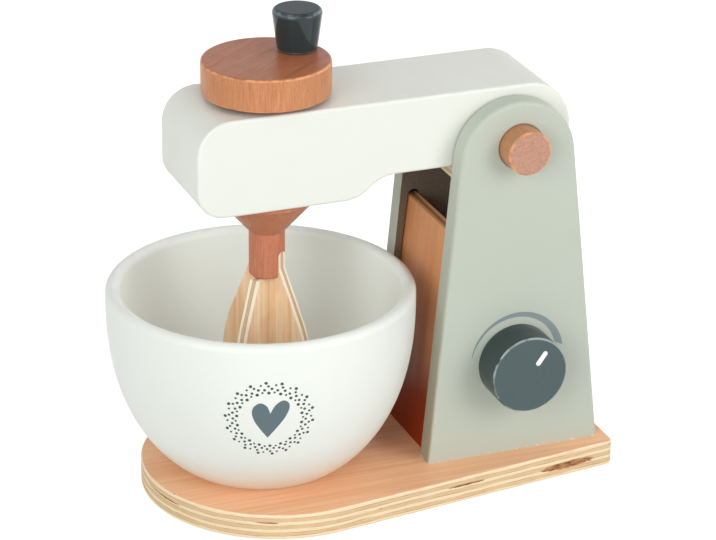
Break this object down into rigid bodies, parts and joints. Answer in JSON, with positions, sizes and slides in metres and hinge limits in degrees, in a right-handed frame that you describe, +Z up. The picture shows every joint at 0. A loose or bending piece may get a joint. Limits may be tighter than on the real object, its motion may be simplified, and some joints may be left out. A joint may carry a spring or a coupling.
{
  "type": "toy stand mixer",
  "caption": "Wooden toy stand mixer: tilting arm with a hand crank and a crossed-plate whisk, loose bowl, slanted column with a dial, plywood board.",
  "frame": {"origin": "where the whisk's axis meets the underside of the board", "axes": "+Z up, +X from the bowl to the column, -Y to the side with the dial"},
  "size_m": [0.2284, 0.1406, 0.225],
  "materials": {
    "plywood": "clear lacquered birch plywood",
    "sage_paint": "matte sage paint on board",
    "white_paint": "satin off-white paint on wood",
    "stained_beech": "satin stained beech",
    "slate_lacquer": "semi-gloss slate grey lacquer on wood",
    "bare_beech": "bare turned beech",
    "white_nylon": "moulded nylon",
    "zinc_steel": "zinc plated"
  },
  "bodies": {
    "stand": {"base_board": "plywood", "dial_side_panel": "sage_paint", "plain_side_panel": "sage_paint", "front_plate": "plywood", "rear_plate": "plywood", "arm_rest": "plywood", "arm_rest_pins": "bare_beech", "base_screws": "zinc_steel"},
    "arm": {"arm": "white_paint", "pivot_dowels": "stained_beech", "crank_washer": "white_nylon"},
    "crank": {"crank_disc": "stained_beech", "drive_shaft": "bare_beech", "whisk_hub": "stained_beech", "whisk_blade_a": "plywood", "whisk_blade_b": "plywood"},
    "crank_knob": {"crank_knob": "slate_lacquer", "crank_knob_screw": "zinc_steel", "crank_knob_washer": "zinc_steel"},
    "dial": {"dial_knob": "slate_lacquer", "dial_screw": "zinc_steel", "dial_washer": "zinc_steel"},
    "bowl": {"bowl": "white_paint"}
  },
  "joints": [
    {"name": "arm_tilt", "type": "hinge", "parent": "stand", "child": "arm", "pos_m": [0.1072, 0, 0.1632], "axis": [0, 1, 0], "range_deg": [0, 45]},
    {"name": "crank_turn", "type": "hinge", "parent": "arm", "child": "crank", "pos_m": [0, 0, 0.19], "axis": [0, 0, 1], "continuous": true},
    {"name": "knob_spin", "type": "hinge", "parent": "crank", "child": "crank_knob", "pos_m": [0.01699, 0.0068, 0.2065], "axis": [0, 0, 1], "continuous": true},
    {"name": "dial_turn", "type": "hinge", "parent": "stand", "child": "dial", "pos_m": [0.1075, -0.0265, 0.058], "axis": [0, 1, 0], "continuous": true},
    {"name": "bowl_lift", "type": "slide", "parent": "stand", "child": "bowl", "axis": [0, 0, 1], "range_m": [0, 0.012]}
  ]
}
